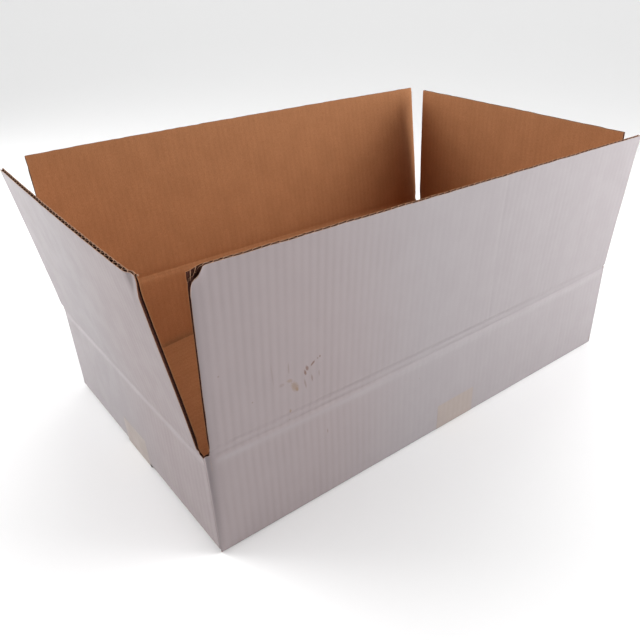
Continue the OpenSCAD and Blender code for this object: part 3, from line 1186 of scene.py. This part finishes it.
def flute_lines_group():
    """Faint lines that the flutes print through a liner"""
    group, given, out = new_group(
        "Flute Lines",
        {"Blank": ("NodeSocketVector", None), "Pitch": ("NodeSocketFloat", 6.5),
         "Phase": ("NodeSocketFloat", 0.0)},
        ("Line",))
    blank = given.outputs["Blank"]
    parts = add_node(group, "ShaderNodeSeparateXYZ", {0: blank})
    turns = calc(group, "ADD", calc(group, "DIVIDE", parts.outputs["X"], given.outputs["Pitch"]),
                 given.outputs["Phase"])
    wave = calc(group, "COSINE", calc(group, "MULTIPLY", turns, 2 * math.pi))
    valley = calc(group, "MULTIPLY_ADD", wave, 0.5, 0.5)
    patch = ramp(group, noise(group, scaled(group, blank, (0.035, 0.016, 1.0)), 3.0, 0.6), 0.3, 0.7, 0.35)
    line = calc(group, "MULTIPLY", calc(group, "POWER", valley, 1.4), patch)
    group.links.new(line, out.inputs["Line"])
    return group


def edge_wear_group():
    """Ragged mask along worn edges, from the mesh's own wear"""
    group, given, out = new_group(
        "Edge Wear",
        {"Blank": ("NodeSocketVector", None), "Wear": ("NodeSocketFloat", 0.0),
         "Amount": ("NodeSocketFloat", 0.5)},
        ("Mask",))
    ragged = noise(group, scaled(group, given.outputs["Blank"], (0.6, 0.6, 1.0)), 3.0, 0.7)
    drive = calc(group, "MULTIPLY", given.outputs["Wear"], given.outputs["Amount"])
    mask = ramp(group, calc(group, "ADD", drive, calc(group, "MULTIPLY", ragged, 0.8)), 0.75, 1.1)
    group.links.new(mask, out.inputs["Mask"])
    return group


def rub_mark_group():
    """Soft oval mark on the blank with a broken edge; Turn leans it over, against the clock"""
    group, given, out = new_group(
        "Rub Mark",
        {"Blank": ("NodeSocketVector", None), "Ragged": ("NodeSocketFloat", 0.5),
         "Centre": ("NodeSocketVector", (0.0, 0.0, 0.0)), "Spread": ("NodeSocketVector", (1.0, 1.0, 1.0)),
         "Turn": ("NodeSocketFloat", 0.0), "Break Up": ("NodeSocketFloat", 1.1)},
        ("Mask",))
    off = add_node(group, "ShaderNodeVectorRotate", {
        "Vector": given.outputs["Blank"], "Center": given.outputs["Centre"],
        "Angle": calc(group, "MULTIPLY", given.outputs["Turn"], -1.0)}, rotation_type="Z_AXIS").outputs[0]
    off = add_node(group, "ShaderNodeVectorMath", {0: off, 1: given.outputs["Centre"]},
                   operation="SUBTRACT").outputs[0]
    off = add_node(group, "ShaderNodeVectorMath", {0: off, 1: given.outputs["Spread"]},
                   operation="DIVIDE").outputs[0]
    away = add_node(group, "ShaderNodeVectorMath", {0: off}, operation="LENGTH").outputs["Value"]
    shift = calc(group, "SUBTRACT", given.outputs["Ragged"], 0.5)
    edge = calc(group, "MULTIPLY_ADD", shift, given.outputs["Break Up"], away)
    group.links.new(ramp(group, edge, 1.1, 0.4), out.inputs["Mask"])
    return group


def use_group(tree, group, inputs):
    made = tree.nodes.new("ShaderNodeGroup")
    made.node_tree = group
    connect(tree, made, inputs)
    return made.outputs


def new_material(name):
    material = bpy.data.materials.new(name)
    material.use_nodes = True
    tree = material.node_tree
    shader = tree.nodes["Principled BSDF"]
    blank = add_node(tree, "ShaderNodeUVMap", {}, uv_map="blank_layout").outputs["UV"]
    wear = add_node(tree, "ShaderNodeAttribute", {}, attribute_name="wear").outputs["Fac"]
    return material, tree, shader, blank, wear


def set_surface(tree, shader, colour, roughness, height, strength, distance, normal=None):
    """Feeds a colour, a roughness and a bump into a material's shader."""
    bump = add_node(tree, "ShaderNodeBump", {"Height": height, "Strength": strength, "Distance": distance})
    if normal is not None:
        tree.links.new(normal, bump.inputs["Normal"])
    tree.links.new(colour, shader.inputs["Base Color"])
    tree.links.new(roughness, shader.inputs["Roughness"])
    tree.links.new(bump.outputs["Normal"], shader.inputs["Normal"])


# Rubs on the front: (x, t) of the centre, half width and half length, lean in degrees and strength
FRONT_RUBS = (
    ((-156.2, 36.3), (1.1, 3.1), 14, 0.85),
    ((-154.6, 39.6), (1.5, 2.9), 22, 0.75),
    ((-149.6, 41.8), (1.1, 3.1), -45, 0.85),
    ((-145.1, 44.5), (0.8, 0.8), 0, 0.6),
    ((-143.2, 45.4), (0.9, 1.1), 0, 0.75),
    ((-150.2, 28.8), (0.9, 3.8), 8, 0.45),
    ((-156.2, 26.3), (0.9, 5.8), 11, 0.38),
    ((-143.8, 30.5), (0.8, 3.2), 5, 0.28),
    ((-184.0, 46.0), (0.8, 12.0), 5, 0.14),
    ((-170.4, 46.3), (0.8, 6.0), 2, 0.28),
    ((-176.4, 33.9), (2.8, 1.8), 0, 0.22),
    ((-224.1, 63.4), (0.8, 0.8), 0, 0.4),
    ((-200.8, 30.4), (0.8, 0.8), 0, 0.4),
    ((-170.2, -1.6), (1.0, 0.8), 0, 0.4),
    ((-136.3, -29.4), (0.6, 2.4), 0, 0.5),
    ((-36.2, -23.7), (0.7, 0.6), 0, 0.4),
)
# Tan scuffs and stains, laid out in the same way
FRONT_STAINS = (
    ((-165.3, 27.6), (3.3, 6.2), 28, 0.65),
    ((-163.6, 24.6), (1.2, 2.6), 15, 0.9),
    ((-169.6, 34.8), (3.0, 1.9), -20, 0.5),
    ((-170.0, 7.4), (1.1, 2.0), 0, 0.7),
    ((-231.6, 138.6), (1.5, 3.0), -55, 0.85),
)


def white_board_material(finish, groups, board):
    """White coated liner with flute lines, mottle, worn edges and a few rubs, with painted shade and painted
    highlight by the creases and the pressed corner
    """
    material, tree, shader, blank, wear = new_material("white_liner")
    grain = use_group(tree, groups["grain"], {"Blank": blank})
    flutes = use_group(tree, groups["flutes"], {"Blank": blank, "Pitch": board.pitch})
    worn = use_group(tree, groups["wear"], {"Blank": blank, "Wear": wear, "Amount": 0.55})
    ragged = noise(tree, scaled(tree, blank, (0.9, 0.9, 1.0)), 3.0, 0.6)
    front = board.sides["front"]

    def mark(x, t, spread, turn, break_up=0.9):
        return use_group(tree, groups["rub"], {
            "Blank": blank, "Ragged": ragged, "Centre": (front.blank + x, front.fold_z + t, 0.0),
            "Spread": (*spread, 1.0), "Turn": math.radians(turn), "Break Up": break_up})["Mask"]

    # Towards the front's left end the coating is thinner and pinker and the flutes show more; the same tint
    # also darkens that end as painted shade.
    thin = mark(-225.0, 0.0, (190.0, 330.0), 0, 0.0)
    shade = calc(tree, "MULTIPLY", flutes["Line"], calc(tree, "MULTIPLY_ADD", thin, 0.4, 0.05))
    colour = blend_colour(tree, shade, opaque(finish.white), opaque(finish.white_shade))
    thin_coat_and_shade_share = calc(tree, "MULTIPLY", thin, 0.9)
    colour = blend_colour(tree, thin_coat_and_shade_share, colour, opaque(finish.thin_coat_and_shade_tint), "MULTIPLY")
    clouded = calc(tree, "MULTIPLY", grain["Cloud"], 0.07)
    colour = blend_colour(tree, clouded, colour, opaque(finish.white_shade))
    fibrous = calc(tree, "MULTIPLY", grain["Fibre"], 0.08)
    colour = blend_colour(tree, fibrous, colour, opaque(finish.white_shade))
    colour = blend_colour(tree, calc(tree, "MULTIPLY", grain["Speck"], 0.06), colour, opaque(finish.scuff))
    for places, tone in ((FRONT_RUBS, finish.scuff), (FRONT_STAINS, finish.stain)):
        for (x, t), spread, turn, strength in places:
            share = calc(tree, "MULTIPLY", mark(x, t, spread, turn), strength)
            colour = blend_colour(tree, share, colour, opaque(tone))
    # The mesh attribute read here paints shade where above 0, and a painted highlight in the pressed white
    # where below 0.
    painted_shading_value = add_node(tree, "ShaderNodeAttribute", {}, attribute_name="painted_shading").outputs["Fac"]
    colour = blend_colour(tree, above_zero(tree, painted_shading_value), colour, opaque(finish.painted_shading))
    # Painted highlight: lighter white where the attribute is below 0
    painted_highlight_share = above_zero(tree, calc(tree, "MULTIPLY", painted_shading_value, -1.0))
    colour = blend_colour(tree, painted_highlight_share, colour, opaque(finish.pressed))
    colour = blend_colour(tree, calc(tree, "MULTIPLY", worn["Mask"], 0.3), colour, opaque(finish.cut))
    roughness = ramp(tree, grain["Cloud"], 0.0, 1.0, 0.56, 0.66)
    set_surface(tree, shader, colour, roughness, grain["Height"], 0.25, 0.0002)
    return material


KRAFT_SPECK = (0.13, 0.06, 0.03)


def kraft_material(finish, groups, board):
    """Brown liner with long fibres, specks and flute lines"""
    material, tree, shader, blank, wear = new_material("kraft_liner")
    shader.inputs["Specular IOR Level"].default_value = 0.3
    grain = use_group(tree, groups["grain"], {"Blank": blank})
    flutes = use_group(tree, groups["flutes"], {"Blank": blank, "Pitch": board.pitch, "Phase": 0.5})
    worn = use_group(tree, groups["wear"], {"Blank": blank, "Wear": wear, "Amount": 0.5})
    shade = calc(tree, "MULTIPLY_ADD", flutes["Line"], 0.16, calc(tree, "MULTIPLY", grain["Fibre"], 0.4))
    colour = blend_colour(tree, shade, opaque(finish.kraft), opaque(finish.kraft_shade))
    clouded = calc(tree, "MULTIPLY", grain["Cloud"], 0.3)
    colour = blend_colour(tree, clouded, colour, opaque(finish.kraft_shade))
    dashed = calc(tree, "MULTIPLY", grain["Dash"], 0.4)
    colour = blend_colour(tree, dashed, colour, opaque(finish.kraft_shade))
    specked = calc(tree, "MULTIPLY", grain["Speck"], 0.4)
    colour = blend_colour(tree, specked, colour, opaque(KRAFT_SPECK))
    colour = blend_colour(tree, calc(tree, "MULTIPLY", worn["Mask"], 0.3), colour, opaque(finish.cut))
    roughness = ramp(tree, grain["Fibre"], 0.0, 1.0, 0.72, 0.85)
    set_surface(tree, shader, colour, roughness, grain["Height"], 0.35, 0.0002)
    return material


def shaded_medium_material(finish, groups):
    """Medium and hidden faces of the liners: rough brown paper, darkened nearly to black as painted shade of
    the flute cavities
    """
    material, tree, shader, blank, _ = new_material("medium_painted_shade")
    shader.inputs["Specular IOR Level"].default_value = 0.1
    grain = use_group(tree, groups["grain"], {"Blank": blank})
    # Brown fibres over the near-black colour, then mostly near-black again: painted shade of the flute
    # cavities
    colour = blend_colour(tree, grain["Fibre"], opaque(finish.flute), opaque(finish.kraft_shade))
    colour = blend_colour(tree, 0.8, colour, opaque(finish.flute))
    roughness = ramp(tree, grain["Fibre"], 0.0, 1.0, 0.8, 0.9)
    set_surface(tree, shader, colour, roughness, grain["Height"], 0.4, 0.0003)
    return material


def cut_edge_material(finish, groups):
    """Cut fibres of the liners and the medium"""
    material, tree, shader, blank, _ = new_material("cut_edge")
    shader.inputs["Specular IOR Level"].default_value = 0.2
    grain = use_group(tree, groups["grain"], {"Blank": blank})
    colour = blend_colour(tree, calc(tree, "MULTIPLY", grain["Fibre"], 0.6), opaque(finish.cut),
                          opaque(finish.kraft_shade))
    roughness = ramp(tree, grain["Fibre"], 0.0, 1.0, 0.8, 0.92)
    set_surface(tree, shader, colour, roughness, grain["Height"], 0.6, 0.0003)
    return material


def tape_material(finish, groups, board):
    """Clear tan film with the flutes showing through it"""
    material, tree, shader, blank, _ = new_material("packing_tape")
    grain = use_group(tree, groups["grain"], {"Blank": blank})
    flutes = use_group(tree, groups["flutes"], {"Blank": blank, "Pitch": board.pitch})
    darker = opaque([0.84 * part for part in finish.tape])
    shade = calc(tree, "MULTIPLY_ADD", flutes["Line"], 0.14, calc(tree, "MULTIPLY", grain["Cloud"], 0.2))
    colour = blend_colour(tree, shade, opaque(finish.tape), darker)
    roughness = ramp(tree, grain["Cloud"], 0.0, 1.0, 0.36, 0.46)
    set_surface(tree, shader, colour, roughness, grain["Height"], 0.12, 0.0002)
    return material


def board_materials(context):
    """The four board materials, in the order of WHITE, KRAFT, SHADED_MEDIUM and CUT, made once"""
    names = ("white_liner", "kraft_liner", "medium_painted_shade", "cut_edge")
    if names[0] not in bpy.data.materials:
        finish = context.scene.carton_finish
        board = Board(context.scene.carton_board)
        groups = shared_groups()
        white_board_material(finish, groups, board)
        kraft_material(finish, groups, board)
        shaded_medium_material(finish, groups)
        cut_edge_material(finish, groups)
    return [bpy.data.materials[name] for name in names]


def shared_groups():
    """The node groups that the materials share, made once"""
    makers = {"grain": ("Paper Grain", paper_grain_group), "flutes": ("Flute Lines", flute_lines_group),
              "wear": ("Edge Wear", edge_wear_group), "rub": ("Rub Mark", rub_mark_group)}
    return {key: bpy.data.node_groups.get(name) or make() for key, (name, make) in makers.items()}


class CARTON_OT_stage(bpy.types.Operator):
    """Makes the floor, the lights and the camera"""

    bl_idname = "carton.stage"
    bl_label = "Stage"

    def execute(self, context):
        stage = context.scene.carton_stage
        add_floor(stage)
        add_camera(context.scene, stage)
        add_lights(context.scene, stage)
        return {"FINISHED"}


class CARTON_OT_walls(bpy.types.Operator):
    """Makes the walls, the corners and the outer bottom flaps"""

    bl_idname = "carton.walls"
    bl_label = "Walls and Outer Bottom Flaps"

    def execute(self, context):
        build_walls(Board(context.scene.carton_board), board_materials(context))
        return {"FINISHED"}


class CARTON_OT_inner_flaps(bpy.types.Operator):
    """Makes the two inner bottom flaps and the joint tab"""

    bl_idname = "carton.inner_flaps"
    bl_label = "Inner Bottom Flaps and Joint Tab"

    def execute(self, context):
        board = Board(context.scene.carton_board)
        materials = board_materials(context)
        for name in ("left", "right"):
            build_inner_bottom_flap(board, board.sides[name], materials)
        build_joint_tab(board, materials)
        return {"FINISHED"}


class CARTON_OT_top_flaps(bpy.types.Operator):
    """Makes the four top flaps with their creases"""

    bl_idname = "carton.top_flaps"
    bl_label = "Top Flaps"

    def execute(self, context):
        board = Board(context.scene.carton_board)
        materials = board_materials(context)
        for side in board.sides.values():
            build_top_flap(board, side, materials)
        return {"FINISHED"}


class CARTON_OT_tape(bpy.types.Operator):
    """Makes the two strips of packing tape"""

    bl_idname = "carton.tape"
    bl_label = "Packing Tape"

    def execute(self, context):
        board = Board(context.scene.carton_board)
        film = [tape_material(context.scene.carton_finish, shared_groups(), board)]
        build_tape(board, "seam_tape_film", "seam_tape", "left", "right", 0.045, film)
        build_tape(board, "cross_tape_film", "cross_tape", "front", "back", 0.0, film)
        return {"FINISHED"}


class CARTON_PT_sidebar(bpy.types.Panel):
    """Lists the carton's settings and the steps that build it"""

    bl_label = "Slotted Carton"
    bl_idname = "CARTON_PT_sidebar"
    bl_space_type = "VIEW_3D"
    bl_region_type = "UI"
    bl_category = "Carton"

    def draw(self, context):
        layout = self.layout
        for group in SETTINGS:
            box = layout.box()
            box.label(text=group.removeprefix("carton_").title())
            settings = getattr(context.scene, group)
            for name in settings.__annotations__:
                box.prop(settings, name)
        for step in STEPS:
            layout.operator(step.bl_idname)


def add_floor(stage):
    """A wide pale floor just under the carton"""
    half = 15.0
    drop = 0.0003
    corners = [(-half, -half), (half, -half), (half, half), (-half, half)]
    mesh = bpy.data.meshes.new("floor")
    mesh.from_pydata([(x, y, -drop) for x, y in corners], [], [(0, 1, 2, 3)])
    material = bpy.data.materials.new("floor")
    material.use_nodes = True
    shader = material.node_tree.nodes["Principled BSDF"]
    shader.inputs["Base Color"].default_value = opaque(stage.floor)
    shader.inputs["Roughness"].default_value = 0.9
    mesh.materials.append(material)
    floor = bpy.data.objects.new("floor", mesh)
    bpy.context.scene.collection.objects.link(floor)


def add_camera(scene, stage):
    """The camera at the photograph's angle"""
    cos, sin = math.cos, math.sin
    a, e, r = stage.azimuth, stage.elevation, stage.roll
    back = Vector((sin(a) * cos(e), -cos(a) * cos(e), sin(e)))
    right = Vector((cos(a), sin(a), 0.0))
    up = back.cross(right)
    rolled_right = cos(r) * right + sin(r) * up
    rolled_up = cos(r) * up - sin(r) * right
    data = bpy.data.cameras.new("camera")
    data.sensor_width = 36.0
    data.lens = stage.lens
    data.shift_x, data.shift_y = stage.shift
    data.clip_start = 0.01
    camera = bpy.data.objects.new("camera", data)
    turn = Matrix((rolled_right, rolled_up, back)).transposed().to_4x4()
    camera.matrix_world = Matrix.Translation(Vector(stage.place)) @ turn
    scene.collection.objects.link(camera)
    scene.camera = camera


def add_soft_light(scene, name, azimuth, elevation, strength, distance=1.0, size=None):
    """A broad distant light that shines toward the carton, or a square panel if size is given"""
    data = bpy.data.lights.new(name, "AREA" if size else "SUN")
    if size:
        data.shape = "SQUARE"
        data.size = size
    else:
        data.angle = math.radians(60)
    data.energy = strength
    a, e = math.radians(azimuth), math.radians(elevation)
    toward = Vector((math.cos(a) * math.cos(e), math.sin(a) * math.cos(e), math.sin(e)))
    light = bpy.data.objects.new(name, data)
    place = toward * distance + Vector((0.0, 0.0, 0.1))
    turn = (-toward).to_track_quat("-Z", "Y").to_matrix().to_4x4()
    light.matrix_world = Matrix.Translation(place) @ turn
    scene.collection.objects.link(light)


def add_lights(scene, stage):
    """Broad soft lights behind both far sides and before the right one, and a panel beside each near wall"""
    world = bpy.data.worlds.new("surroundings")
    world.use_nodes = True
    backdrop = world.node_tree.nodes["Background"]
    backdrop.inputs["Color"].default_value = (0.8, 0.8, 0.8, 1.0)
    backdrop.inputs["Strength"].default_value = 1.0
    scene.world = world
    seen_by = world.cycles_visibility
    seen_by.diffuse = seen_by.glossy = seen_by.transmission = seen_by.scatter = False
    add_soft_light(scene, "back_right_light", 45, 15, stage.back_right)
    add_soft_light(scene, "back_left_light", 135, 45, stage.back_left)
    add_soft_light(scene, "front_right_light", 315, 45, stage.front_right)
    add_soft_light(scene, "left_panel", 135, 20, stage.left_panel, 1.2, 0.8)
    add_soft_light(scene, "right_panel", 315, 20, stage.right_panel, 1.0, 0.7)
    scene.view_settings.view_transform = "Standard"


STEPS = (CARTON_OT_stage, CARTON_OT_walls, CARTON_OT_inner_flaps, CARTON_OT_top_flaps, CARTON_OT_tape)
SETTINGS = {
    "carton_board": CartonBoardSettings,
    "carton_finish": CartonFinishSettings,
    "carton_stage": CartonStageSettings,
}


def register():
    """Adds the settings, the operators and the panel."""
    for group in SETTINGS.values():
        bpy.utils.register_class(group)
    for name, group in SETTINGS.items():
        setattr(bpy.types.Scene, name, PointerProperty(type=group))
    for step in STEPS:
        bpy.utils.register_class(step)
    bpy.utils.register_class(CARTON_PT_sidebar)


def unregister():
    """Removes the panel, the operators and the settings."""
    bpy.utils.unregister_class(CARTON_PT_sidebar)
    for step in reversed(STEPS):
        bpy.utils.unregister_class(step)
    for name, group in SETTINGS.items():
        delattr(bpy.types.Scene, name)
        bpy.utils.unregister_class(group)


def main():
    """Builds the carton step by step."""
    register()
    for step in STEPS:
        area, name = step.bl_idname.split(".")
        getattr(getattr(bpy.ops, area), name)()


if __name__ == "__main__":
    main()
